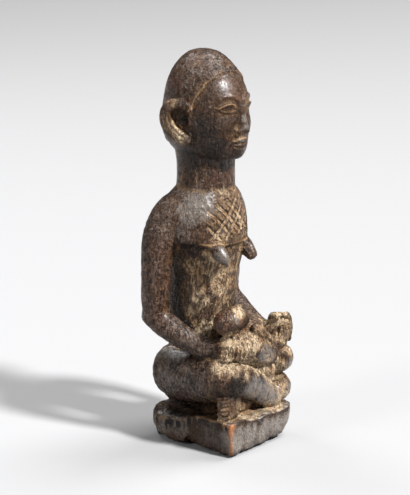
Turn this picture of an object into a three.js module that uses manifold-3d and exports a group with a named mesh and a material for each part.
// A seated woman with a child across her lap, carved with its low base from one log of dark wood.
// Millimetres, +Z up, the figure faces -Y, and the origin is the middle of the base's underside.
import * as THREE from "three";
import { mergeVertices } from "three/addons/utils/BufferGeometryUtils.js";
import Module from "manifold-3d";

// Driving sizes
const figureHeight = 250; // base top to crown
const baseWidth = 73;
const baseDepth = 77;
const baseThickness = 23;
const baseSink = 1.2; // how far the carved forms run into the base's top
const frontCornerRadius = 9; // the figure's front left corner, worn round
const rearCornerRadius = 10;
const sharpCornerRadius = 1.2; // the figure's front right corner, still crisp
const lowCornerGrowth = 10; // how much rounder the worn corners are at the underside
const rimWear = 11; // how far the worn rim reaches in over the top
const footWear = 6; // how far the worn lower edge reaches in under the base
const hairRise = 0.8; // the cap of hair stands this far off the brow
const woodColor = 0x3a271c;

// The figure is a free form, so its places and sections are hundredths of its own height,
// measured from the base's centre and the base's top.
const share = figureHeight / 100;
const at = (x, y, z) => new THREE.Vector3(x * share, y * share, baseThickness + z * share);

const wasm = await Module();
wasm.setup();

// A three.js geometry as a solid
function solid(geometry) {
  const bare = geometry.index ? geometry.toNonIndexed() : geometry.clone();
  for (const name of Object.keys(bare.attributes)) if (name !== "position") bare.deleteAttribute(name);
  const merged = mergeVertices(bare, 1e-4);
  return new wasm.Manifold(
    new wasm.Mesh({
      numProp: 3,
      vertProperties: merged.attributes.position.array,
      triVerts: new Uint32Array(merged.index.array),
    }),
  );
}

const join = (solids) => solids.reduce((whole, next) => whole.add(next));

// One value of a list of stations at 0 to 1 along it, on a smooth curve through them
function along(values, t) {
  const place = t * (values.length - 1);
  const i = Math.min(Math.floor(place), values.length - 2);
  const value = (k) => values[Math.max(0, Math.min(values.length - 1, k))];
  const [a, b, c, d] = [value(i - 1), value(i), value(i + 1), value(i + 2)];
  const f = place - i;
  return b + 0.5 * f * (c - a + f * (2 * a - 5 * b + 4 * c - d + f * (3 * (b - c) + d - a)));
}

// Sine or cosine with its curve made squarer, for sections between an oval and a block
const squared = (value, power) => Math.sign(value) * Math.abs(value) ** power;

// A closed body whose rings are placed by place(t, angle, r), with t from 0 to 1 along it
// and r 0 at the middles of its ends
function ringBody(around, steps, place) {
  const geometry = new THREE.CylinderGeometry(1, 1, 1, around, steps);
  const position = geometry.getAttribute("position");
  for (let i = 0; i < position.count; i++) {
    const [x, y, z] = [position.getX(i), position.getY(i), position.getZ(i)];
    const p = place(y + 0.5, Math.atan2(-z, x), Math.hypot(x, z));
    position.setXYZ(i, p.x, p.y, p.z);
  }
  return solid(geometry);
}

// A limb: oval sections along a smooth line, with round ends.
// Each station is [x, y, z, half size across, half size up], in shares; up gives the section's upward side.
function limb(stations, options = {}) {
  const { around = 12, steps = 10, up = [0, 0, 1], square = 1, startCap = 0.12, endCap = 0.12 } = options;
  const line = new THREE.CatmullRomCurve3(stations.map(([x, y, z]) => at(x, y, z)), false, "centripetal");
  const wide = stations.map((s) => s[3]);
  const high = stations.map((s) => s[4] ?? s[3]);
  const upward = new THREE.Vector3(...up);
  const capSteps = 2;
  const middleSteps = steps - 2 * capSteps;
  // Ring number to place along the line and size of the ring there
  const ring = (k) => {
    const turn = (n) => (n / capSteps) * (Math.PI / 2);
    if (k < capSteps) return [startCap * (1 - Math.cos(turn(k))), Math.sin(turn(k))];
    const left = steps - k;
    if (left < capSteps) return [1 - endCap * (1 - Math.cos(turn(left))), Math.sin(turn(left))];
    return [startCap + ((k - capSteps) / middleSteps) * (1 - startCap - endCap), 1];
  };
  const tip = 0.12; // an end's last ring, as a share of the full section
  return ringBody(around, steps, (t, angle, r) => {
    const [u, size] = ring(Math.round(t * steps));
    const centre = line.getPoint(u);
    const tangent = line.getTangent(u);
    const side = new THREE.Vector3().crossVectors(tangent, upward).normalize();
    const rise = new THREE.Vector3().crossVectors(side, tangent);
    const scale = Math.max(size, tip) * share * r;
    return centre
      .addScaledVector(side, -squared(Math.cos(angle), square) * along(wide, u) * scale)
      .addScaledVector(rise, squared(Math.sin(angle), square) * along(high, u) * scale);
  });
}

// A trunk: level rings on smooth curves, each [z, half width, front y, back y, y of the widest place],
// in shares. The widest place is halfway back where it isn't given.
function trunk(rings, { around = 24, steps = 10, grow = 0, square = 1 } = {}) {
  const column = (n) => rings.map((ring) => ring[n] ?? (ring[2] + ring[3]) / 2);
  const [level, width, front, back, widest] = [0, 1, 2, 3, 4].map(column);
  return ringBody(around, steps, (t, angle, r) => {
    const middle = along(widest, t);
    const [across, deep] = [squared(Math.cos(angle), square), squared(Math.sin(angle), square)];
    const reach = deep < 0 ? middle - along(front, t) : along(back, t) - middle;
    const centre = at(0, middle, along(level, t));
    centre.z += grow * (2 * t - 1);
    centre.x += r * across * (along(width, t) * share + grow);
    centre.y += r * deep * (reach * share + grow);
    return centre;
  });
}

// An egg shape: middle and half sizes in shares, turned by angles in degrees about X, Y and Z
function egg(middle, sizes, { turn = [0, 0, 0], around = 12, rows = 8 } = {}) {
  const geometry = new THREE.SphereGeometry(1, around, rows);
  geometry.rotateX(Math.PI / 2);
  geometry.scale(...sizes.map((size) => size * share));
  geometry.applyMatrix4(
    new THREE.Matrix4().makeRotationFromEuler(new THREE.Euler(...turn.map(THREE.MathUtils.degToRad))),
  );
  const { x, y, z } = at(...middle);
  return solid(geometry.translate(x, y, z));
}

// The same stations on the figure's other side
const mirrored = (stations) => stations.map(([x, ...rest]) => [-x, ...rest]);

// The head's level rings, chin to crown
const headRings = [
  [70.4, 4.5, -5.0, 8.5],
  [71.5, 7.4, -6.4, 13.6],
  [74.0, 9.4, -6.9, 16.6],
  [78.0, 10.5, -7.0, 18.2],
  [82.5, 10.9, -7.0, 18.0],
  [86.5, 10.8, -6.8, 17.3],
  [90.5, 10.1, -5.4, 16.4],
  [93.8, 8.8, -3.2, 15.0],
  [96.6, 6.8, -0.6, 13.0],
  [98.7, 4.4, 2.1, 10.7],
  [99.6, 1.4, 5.0, 8.2],
];

// Levels of the face, by the usual canon: eyes at half the head, nose and mouth below them
const chinLevel = 70.3;
const crownLevel = 99.6;
const eyeLevel = (chinLevel + crownLevel) / 2;
const noseBase = (chinLevel + eyeLevel) / 2;
const mouthLevel = noseBase - (noseBase - chinLevel) / 3;
const faceFront = -7;

function face() {
  const small = { around: 9, rows: 6 };
  const nose = limb(
    [
      [0, faceFront + 1.4, eyeLevel + 2.4, 1.2, 0.9],
      [0, faceFront + 0.3, eyeLevel - 0.6, 1.15, 1.0],
      [0, faceFront - 0.6, noseBase + 3.4, 1.3, 1.05],
      [0, faceFront - 1.0, noseBase + 1.2, 1.7, 1.2],
    ],
    { around: 10, steps: 8, up: [0, -1, 0.2], startCap: 0.2 },
  );
  const eyes = [-1, 1].flatMap((side) => [
    egg([side * 4.3, faceFront + 1.5, eyeLevel], [2.3, 1.2, 1.05], { ...small, turn: [0, 0, side * 16] }),
    limb(
      [
        [side * 1.2, faceFront + 0.6, eyeLevel + 1.7, 0.5],
        [side * 4.0, faceFront + 0.6, eyeLevel + 3.0, 0.7],
        [side * 7.6, faceFront + 2.8, eyeLevel + 1.9, 0.5],
      ],
      { around: 6, steps: 7 },
    ),
  ]);
  const lips = [0.5, -0.6].map((offset, lower) =>
    limb(
      [
        [-3.1, faceFront + 0.9, mouthLevel, 0.3],
        [-1.4, faceFront + 0.1, mouthLevel + offset, 0.6],
        [1.4, faceFront + 0.1, mouthLevel + offset, 0.6],
        [3.1, faceFront + 0.9, mouthLevel, 0.3],
      ],
      { around: 7, steps: 7 - lower },
    ),
  );
  const chin = egg([0, faceFront + 1.8, chinLevel + 2.0], [3.0, 1.8, 1.9], small);
  return join([nose, ...eyes, ...lips, chin]);
}

// The cap of hair: the head's own rings a little larger, cut away inside an arch over the brow
function hair() {
  const archHalfWidth = 12.3 * share;
  const archFoot = 79.5;
  const archTop = 94.7;
  const earLine = 2.2; // the arch stops here, just before the ear
  const archDepth = 30 * share;
  const cap = trunk(headRings, { around: 24, steps: 12, grow: hairRise });
  const arch = new THREE.CylinderGeometry(1, 1, archDepth, 26, 1);
  arch.scale(archHalfWidth, 1, (archTop - archFoot) * share);
  const { y, z } = at(0, earLine, archFoot);
  arch.translate(0, y - archDepth / 2, z);
  const below = new THREE.BoxGeometry(30 * share, 30 * share, 12 * share);
  const nape = at(0, 0, 80 - 6);
  below.rotateX(-0.28).translate(nape.x, nape.y, nape.z);
  return cap.subtract(solid(arch)).subtract(solid(below));
}

// An ear: a broad folded rim round a deep hollow
function ear(side) {
  const rim = [
    [10.4, 2.6, 83.6, 0.9, 0.8],
    [11.4, 3.9, 85.6, 1.3, 0.9],
    [12.2, 6.5, 85.9, 1.5, 1.0],
    [12.6, 8.9, 84.2, 1.8, 1.0],
    [12.7, 9.2, 81.6, 2.1, 1.0],
    [12.5, 7.9, 79.2, 2.3, 1.0],
    [12.0, 6.1, 77.4, 2.1, 1.0],
    [11.4, 4.2, 76.3, 1.6, 0.9],
    [10.8, 2.4, 75.9, 1.1, 0.8],
  ];
  const back = [
    [9.4, 7.4, 84.8, 1.6, 1.8],
    [9.8, 9.0, 81.4, 2.0, 2.2],
    [9.6, 7.0, 78.0, 1.8, 1.8],
  ];
  const place = (stations) => (side < 0 ? mirrored(stations) : stations);
  const up = [side, 0, 0];
  return join([
    limb(place(rim), { around: 6, steps: 12, startCap: 0.04, endCap: 0.06, up }),
    limb(place(back), { around: 6, steps: 5, up }),
  ]);
}

function head() {
  return join([trunk(headRings, { around: 22, steps: 12 }), hair(), face(), ear(-1), ear(1)]);
}

function neck() {
  return trunk(
    [
      [58, 8.4, -2.8, 14.0],
      [61.5, 8.3, -2.6, 13.8],
      [66, 8.1, -2.5, 13.6],
      [70, 8.2, -2.6, 13.8],
      [74, 8.6, -2.8, 14.6],
    ],
    { around: 18, steps: 4 },
  );
}

// The yoke's level rings
const yokeRings = [
  [43, 13.6, -5.2, 13.2, 8],
  [48, 14.4, -5.4, 14.4, 8],
  [52, 14.6, -4.8, 15.0, 8],
  [56, 13.8, -4.4, 15.0, 8],
  [59.4, 12.0, -3.6, 14.4, 8],
  [61.6, 9.4, -2.8, 13.8, 7],
  [62.8, 7.0, -1.6, 12.8, 6],
];

// The yoke of chest and shoulders, a thick dome whose crisp lower edge overhangs the trunk
// and rises to the back
function yoke() {
  const edgeFront = 46.8;
  const edgeSlope = 0.14;
  const dome = trunk(yokeRings, { around: 22, steps: 8 });
  const below = new THREE.BoxGeometry(40 * share, 40 * share, 12 * share).translate(0, 0, -6 * share);
  const { y, z } = at(0, -5, edgeFront);
  below.rotateX(Math.atan(edgeSlope)).translate(0, y, z);
  return grooves().reduce((whole, groove) => whole.subtract(groove), dome.subtract(solid(below)));
}

// The yoke's front at a level and a distance from the middle
function yokeFront(x, z) {
  const column = (n) => yokeRings.map((ring) => ring[n]);
  let [low, high] = [0, 1];
  for (let n = 0; n < 20; n++) {
    const t = (low + high) / 2;
    if (along(column(0), t) < z) low = t;
    else high = t;
  }
  const middle = along(column(4), low);
  return middle - (middle - along(column(2), low)) * Math.sqrt(1 - (x / along(column(1), low)) ** 2);
}

// Grooves that cross on the chest and make a lattice of lozenges
function grooves() {
  const grooveHalf = 0.34;
  const pitch = 4.8;
  const crossing = 52.6; // level where the two middle grooves cross
  const [low, high, halfWidth] = [48.3, 59.3, 9.6];
  const starts = [-2, -1, 0, 1].map((n) => crossing + n * pitch);
  return [-1, 1].flatMap((slant) =>
    starts.map((start) => {
      const across = (z) => slant * (z - start);
      const spread = Array.from({ length: 45 }, (_, n) => low + (n * (high - low)) / 44);
      const levels = spread.filter((z) => Math.abs(across(z)) < halfWidth);
      const stations = [0, 0.25, 0.5, 0.75, 1].map((t) => {
        const z = levels[Math.round(t * (levels.length - 1))];
        return [across(z), yokeFront(across(z), z) + 0.06, z, grooveHalf];
      });
      return limb(stations, { around: 4, steps: 6, up: [0, -1, 0], startCap: 0.04, endCap: 0.04 });
    }),
  );
}

function breast(side) {
  const drop = side > 0 ? 0.5 : 0;
  return limb(
    [
      [side * 6.1, -1.2, 48.6 - drop, 1.8],
      [side * 6.1, -3.2, 46.6 - drop, 1.85],
      [side * 6.0, -5.2, 44.3 - drop, 1.45],
      [side * 5.8, -6.8, 42.3 - drop, 0.95],
    ],
    { around: 9, steps: 6, endCap: 0.16, up: [1, 0, 0] },
  );
}

function torso() {
  return trunk(
    [
      [1.2, 10.0, -2.8, 14.2, 8.0],
      [4, 11.6, -2.8, 15.4, 8.5],
      [10, 11.6, -2.9, 15.6, 8.5],
      [16.5, 9.9, -2.9, 14.6, 7.5],
      [22, 9.4, -2.8, 14.8, 7.5],
      [30, 9.3, -2.7, 15.4, 7.5],
      [38, 9.3, -2.8, 15.2, 7.5],
      [44, 10.4, -3.0, 15.0, 7.5],
      [50, 12.4, -3.8, 14.6, 7],
    ],
    { around: 20, steps: 9, square: 0.84 },
  );
}

// An arm of two straight-sided lengths that meet at a crisp elbow
function arm(upper, lower) {
  return join([
    limb(upper, { around: 10, steps: 10, up: [0, -1, 0], startCap: 0.08, endCap: 0.07, square: 0.9 }),
    limb(lower, { around: 9, steps: 8, startCap: 0.08, endCap: 0.07, square: 0.9 }),
  ]);
}

const fingerCount = 4;
const fingerPitch = 1.28;

function rightArm() {
  const upper = [
    [-3.4, 7.8, 55.0, 4.4, 4.8],
    [-7.4, 8.9, 56.0, 5.2, 5.6],
    [-11.0, 9.9, 53.2, 5.4, 5.5],
    [-13.6, 10.5, 48.6, 4.9, 5.0],
    [-14.9, 10.7, 43.0, 4.3, 4.4],
    [-15.2, 10.8, 36.0, 4.05, 4.1],
    [-15.2, 11.0, 29.5, 3.8, 3.9],
    [-15.0, 11.0, 24.2, 3.2, 3.3],
  ];
  const lower = [
    [-15.1, 14.6, 28.2, 3.2, 3.2],
    [-14.9, 10.2, 26.0, 3.6, 3.7],
    [-13.7, 4.5, 22.6, 3.3, 3.4],
    [-12.2, -0.4, 20.3, 3.0, 3.1],
    [-11.2, -5.0, 19.2, 2.7, 2.9],
    [-9.9, -9.4, 19.2, 2.0, 2.7],
  ];
  const topFinger = 20.9;
  const fingers = Array.from({ length: fingerCount }, (_, n) => {
    const z = topFinger - fingerPitch * n;
    const stations = [
      [-11.5, -6.2, z + 0.1, 1.0, 0.76],
      [-11.5, -8.8, z, 1.05, 0.78],
      [-11.1, -10.8, z, 1.0, 0.74],
      [-9.9, -12.0, z + 0.1, 0.8, 0.66],
    ];
    return limb(stations, { around: 6, steps: 5 });
  });
  const thumb = [
    [-10.4, -5.4, 21.3, 0.9],
    [-9.6, -7.8, 22.0, 0.95],
    [-8.6, -10.4, 22.2, 0.8],
  ];
  return join([arm(upper, lower), ...fingers, limb(thumb, { around: 6, steps: 5 })]);
}

function leftArm() {
  const upper = [
    [3.4, 7.8, 55.0, 4.4, 4.8],
    [7.4, 8.9, 56.0, 5.2, 5.6],
    [11.0, 9.9, 53.2, 5.4, 5.5],
    [13.6, 10.5, 48.6, 4.9, 5.0],
    [14.9, 10.7, 43.0, 4.3, 4.4],
    [15.2, 10.8, 37.0, 4.05, 4.1],
    [15.3, 10.8, 30.6, 3.8, 3.9],
    [15.2, 10.5, 25.6, 3.2, 3.3],
  ];
  const lower = [
    [15.3, 14.0, 29.0, 3.2, 3.2],
    [15.1, 9.4, 26.8, 3.5, 3.6],
    [14.3, 3.8, 23.4, 3.2, 3.3],
    [13.6, -0.5, 21.1, 3.0, 3.1],
    [13.0, -4.0, 19.8, 2.9, 3.0],
    [12.8, -7.6, 19.8, 2.9, 3.1],
    [12.8, -12.0, 20.6, 2.4, 3.0],
  ];
  const palm = egg([12.4, -10.8, 21.4], [2.5, 3.6, 4.0], { turn: [-12, 0, 0], around: 10, rows: 7 });
  const fingers = Array.from({ length: fingerCount }, (_, n) => {
    const y = -13.2 + 1.5 * n;
    const stations = [
      [11.4, y + 0.5, 25.0 - 0.35 * n, 1.0, 0.8],
      [13.2, y, 25.4 - 0.25 * n, 0.95, 0.8],
      [14.4, y - 0.1, 22.6, 0.95, 0.82],
      [14.4, y - 0.1, 20.0, 0.85, 0.75],
      [13.8, y, 17.5, 0.8, 0.7],
    ];
    return limb(stations, { around: 6, steps: 6, up: [0, 1, 0] });
  });
  const thumb = [
    [11.6, -8.0, 23.0, 0.95],
    [11.0, -10.2, 25.0, 0.95],
    [10.4, -12.4, 25.0, 0.85],
  ];
  return join([arm(upper, lower), palm, ...fingers, limb(thumb, { around: 6, steps: 5 })]);
}

// Thighs and shins, crossed in front, with the left foot out at the front right corner
function legs() {
  const rightThigh = [
    [-7.4, 15.8, 9.4, 5.8, 6.4],
    [-7.8, 11.0, 9.6, 6.5, 7.6],
    [-8.8, 5.4, 9.6, 6.8, 7.6],
    [-10.0, -1.2, 10.2, 6.4, 7.0],
    [-10.6, -7.0, 10.8, 5.9, 6.5],
    [-9.4, -13.0, 10.6, 5.0, 5.6],
  ];
  const rightShin = [
    [-12.6, -9.2, 11.2, 4.8, 5.6],
    [-8.4, -10.2, 10.9, 4.5, 5.5],
    [-3.6, -10.7, 9.5, 4.2, 5.0],
    [1.0, -11.1, 6.8, 3.9, 4.4],
    [5.2, -11.4, 4.2, 3.5, 3.8],
    [9.0, -11.3, 2.0, 3.0, 3.1],
    [11.8, -11.0, 0.8, 2.4, 2.4],
  ];
  const leftThigh = [
    [7.4, 17.2, 8.6, 6.2],
    [8.0, 11.0, 9.0, 6.9, 7.3],
    [9.2, 5.0, 9.8, 6.9, 7.2],
    [10.6, -1.4, 11.2, 6.0, 6.0],
    [11.9, -7.6, 12.7, 5.3, 5.0],
    [12.2, -15.2, 12.9, 4.5, 4.6],
  ];
  const leftShin = [
    [12.6, -3.0, 4.6, 3.4],
    [12.1, -8.6, 4.9, 4.2],
    [11.0, -11.6, 4.2, 3.8],
    [6.0, -9.0, 3.0, 2.8],
    [0, -8.4, 2.4, 2.6],
    [-6.4, -10.2, 3.0, 2.8],
  ];
  const options = { around: 12, steps: 9, startCap: 0.16, endCap: 0.16 };
  return join([
    limb(rightThigh, options),
    limb(rightShin, options),
    limb(leftThigh, options),
    limb(leftShin, { ...options, around: 10, steps: 8 }),
    foot(),
    seat(),
    egg([4.6, -11.4, 10.8], [4.8, 2.6, 3.0], { turn: [0, 24, 0], around: 8, rows: 6 }),
    egg([8.0, -4.2, 18.0], [5.6, 4.2, 6.2], { around: 10, rows: 7 }),
  ]);
}

// The left foot lies on its outer edge at the base's front right corner, with its toes stacked at the end
function foot() {
  const toeCount = 5;
  const [toeTop, toeLow] = [6.2, 1.2];
  const sole = [
    [-7.0, -11.2, 3.0, 1.6, 2.8],
    [-8.6, -11.3, 3.4, 1.9, 3.2],
    [-10.8, -11.3, 3.5, 1.9, 3.3],
    [-13.4, -11.3, 3.7, 1.5, 3.0],
  ];
  const heel = [
    [0.6, -7.0, 2.0, 1.6, 2.0],
    [-3.0, -7.6, 2.4, 1.7, 2.3],
    [-6.4, -8.6, 2.8, 1.7, 2.5],
  ];
  const toes = Array.from({ length: toeCount }, (_, n) => {
    const z = toeTop - (n * (toeTop - toeLow)) / (toeCount - 1);
    const stations = [
      [-10.0, -11.5, z, 1.6, 0.66],
      [-12.6, -11.5, z, 1.6, 0.7],
      [-15.1 + 0.15 * n, -11.3, z, 1.3, 0.58],
    ];
    return limb(stations, { around: 6, steps: 5 });
  });
  return join([
    limb(sole, { around: 10, steps: 6, square: 0.7, startCap: 0.06, endCap: 0.08 }),
    limb(heel, { around: 8, steps: 5, square: 0.8 }),
    ...toes,
  ]);
}

// The wood left between the legs and the base
function seat() {
  return trunk(
    [
      [-baseSink / share, 7.6, -7.0, 12.6],
      [3, 7.8, -7.6, 13.6],
      [8, 9.0, -8.8, 14.4],
      [13, 8.6, -9.2, 13.6],
      [15, 5, -7.0, 10.0],
    ],
    { around: 16, steps: 4 },
  );
}

// The child on its back, its cloth drawn up to the mother's hand and its feet in her other hand
function child() {
  const body = [
    [-7.8, -9.6, 22.4, 2.8],
    [-5.2, -10.2, 20.8, 4.2],
    [-1.8, -10.9, 18.9, 4.7],
    [2.0, -11.5, 17.4, 4.5],
    [5.4, -11.6, 15.7, 4.1],
    [8.4, -11.5, 14.6, 2.8],
  ];
  const thigh = (y) => [
    [4.6, y, 15.6, 2.8],
    [8.4, y, 18.6, 2.4],
    [12.2, y, 22.4, 1.9],
  ];
  const calf = (y) => [
    [12.6, y - 0.2, 22.6, 1.7],
    [11.6, y - 0.6, 19.6, 1.6],
    [10.6, y - 0.9, 17.0, 1.2],
  ];
  const littleArm = (y) => [
    [-2.6, y, 24.6, 1.7],
    [0.4, y - 0.9, 23.2, 1.7],
    [3.4, y - 1.2, 20.6, 1.5],
    [6.2, y - 1.2, 18.0, 1.2],
  ];
  const sling = [
    [-10.8, -9.4, 19.4, 1.8, 2.2],
    [-9.2, -10.9, 19.4, 2.5, 2.5],
    [-6.6, -11.6, 19.4, 3.2, 3.5],
    [-3.2, -11.8, 19.0, 3.9, 4.1],
  ];
  const feet = [
    [9.2, -13.4, 19.6, 1.5],
    [10.4, -13.6, 21.4, 1.8, 1.7],
    [12.0, -13.5, 22.6, 1.6],
    [12.8, -13.2, 21.0, 1.3],
  ];
  const options = { around: 6, steps: 5 };
  return join([
    limb(sling, { around: 10, steps: 6 }),
    limb(feet, { around: 8, steps: 6, up: [0, 1, 0] }),
    limb(body, { around: 12, steps: 9, startCap: 0.12, endCap: 0.16 }),
    ...[-12.6, -9.4].flatMap((y) => [limb(thigh(y), options), limb(calf(y), options)]),
    ...[-12.6, -8.2].map((y) => limb(littleArm(y), options)),
    childHead(),
  ]);
}

// The child's head lies on its back, crown to the mother's right, face up
function childHead() {
  const skull = [
    [-12.2, -8.8, 25.6, 1.8, 1.8],
    [-10.2, -9.0, 26.4, 3.4, 3.5],
    [-7.2, -9.3, 27.2, 3.7, 3.9],
    [-4.2, -9.6, 27.0, 3.2, 3.3],
    [-1.8, -9.8, 26.2, 2.0, 2.2],
  ];
  const nose = [
    [-6.0, -9.6, 30.5, 0.45],
    [-4.8, -9.8, 31.1, 0.6],
    [-3.9, -9.9, 30.4, 0.7],
  ];
  return join([
    limb(skull, { around: 12, steps: 8, startCap: 0.1, endCap: 0.1 }),
    limb(nose, { around: 6, steps: 5, up: [0, 1, 0] }),
    egg([-5.6, -11.6, 29.6], [0.8, 0.6, 0.5], { turn: [-40, 0, 0], around: 7, rows: 5 }),
    egg([-5.6, -7.8, 30.0], [0.8, 0.6, 0.5], { turn: [40, 0, 0], around: 7, rows: 5 }),
    egg([-2.6, -9.9, 29.2], [0.5, 1.0, 0.5], { around: 7, rows: 5 }),
  ]);
}

// Wear along the base's edges, each [place along the side, height]: places run from -1 to 1
// along the side, and heights are shares of the base's thickness
const rimAtSide = [
  [-1, 0.013], [-0.92, 0.017], [-0.82, 0.048], [-0.64, 0.078], [-0.33, 0.104], [-0.18, 0.043],
  [0, -0.043], [0.26, -0.2], [0.51, -0.235], [0.73, -0.252], [0.88, -0.252], [1, -0.217],
];
const rimInFront = [
  [-1, 0.013], [-0.82, 0.039], [-0.7, 0.043], [-0.52, 0.009], [-0.36, -0.061], [-0.085, -0.113],
  [0.05, -0.043], [0.27, -0.087], [0.49, -0.126], [0.76, -0.091], [1, 0.026],
];
const footAtSide = [
  [-1, 0.017], [-0.88, 0.052], [-0.73, 0.026], [-0.52, 0.096], [-0.31, 0.113], [-0.13, 0.148], [0.03, 0.2],
  [0.1, 0.087], [0.26, 0.052], [0.42, 0.035], [0.57, 0.113], [0.78, 0.13], [1, 0.174],
];
const footInFront = [
  [-1, 0.017], [-0.82, 0.022], [-0.66, 0.061], [-0.41, 0.03], [-0.22, 0.078], [0, 0.052],
  [0.22, 0.104], [0.44, 0.061], [0.66, 0.13], [0.88, 0.157], [1, 0.174],
];

// The height of a worn edge at a place along its side
function wearAt(edge, place) {
  const n = Math.max(1, edge.findIndex(([end]) => end >= place));
  const [[a, low], [b, high]] = [edge[n - 1], edge[n]];
  return low + (high - low) * Math.min(1, Math.max(0, (place - a) / (b - a)));
}

// The low base: three rounded corners and a sharp one, a worn rim that rises and falls, a ragged lower edge
function base() {
  const [w, d, h] = [baseWidth / 2, baseDepth / 2, baseThickness];
  const corners = [
    [-1, -1, sharpCornerRadius, 0],
    [1, -1, frontCornerRadius, lowCornerGrowth],
    [1, 1, rearCornerRadius, lowCornerGrowth / 2],
    [-1, 1, rearCornerRadius, lowCornerGrowth],
  ];
  const block = new THREE.BoxGeometry(baseWidth, baseDepth, h, 11, 11, 3).translate(0, 0, h / 2);
  const position = block.getAttribute("position");
  for (let i = 0; i < position.count; i++) {
    let [x, y, z] = [position.getX(i), position.getY(i), position.getZ(i)];
    const [atSide, inFront] = [y / d, x / w];
    const sideReach = (reach) => Math.max(0, 1 - (x + w) / reach);
    const frontReach = (reach) => Math.max(0, 1 - (y + d) / reach);
    const rimSide = wearAt(rimAtSide, atSide) * sideReach(rimWear);
    const rim = rimSide + wearAt(rimInFront, inFront) * frontReach(rimWear);
    const foot = Math.max(
      wearAt(footAtSide, atSide) * sideReach(footWear),
      wearAt(footInFront, inFront) * frontReach(footWear),
    );
    const low = (1 - z / h) ** 2.4;
    for (const [cornerX, cornerY, radius, growth] of corners) {
      const reach = radius + growth * low;
      const [dx, dy] = [cornerX * x - w + reach, cornerY * y - d + reach];
      if (dx <= 0 || dy <= 0) continue;
      const round = Math.max(dx, dy) / Math.hypot(dx, dy);
      x -= cornerX * dx * (1 - round);
      y -= cornerY * dy * (1 - round);
    }
    z += h * (rim * (z / h) ** 3 + foot * Math.max(0, 1 - z / (0.4 * h)));
    position.setXYZ(i, x, y, z);
  }
  return solid(block);
}

const carving = join([
  base(),
  legs(),
  torso(),
  yoke(),
  neck(),
  breast(-1),
  breast(1),
  rightArm(),
  leftArm(),
  child(),
  head(),
]);

// The finished solid as a three.js geometry
function geometryOf(whole) {
  const { vertProperties, triVerts } = whole.getMesh();
  const geometry = new THREE.BufferGeometry();
  geometry.setAttribute("position", new THREE.BufferAttribute(vertProperties, 3));
  geometry.setIndex(new THREE.BufferAttribute(triVerts, 1));
  geometry.computeVertexNormals();
  return geometry;
}

const darkWood = new THREE.MeshStandardMaterial({ color: woodColor, roughness: 0.5, metalness: 0 });

const maternityFigure = new THREE.Mesh(geometryOf(carving), darkWood);
maternityFigure.name = "maternity_figure";

const figure = new THREE.Group();
figure.add(maternityFigure);

export default figure;
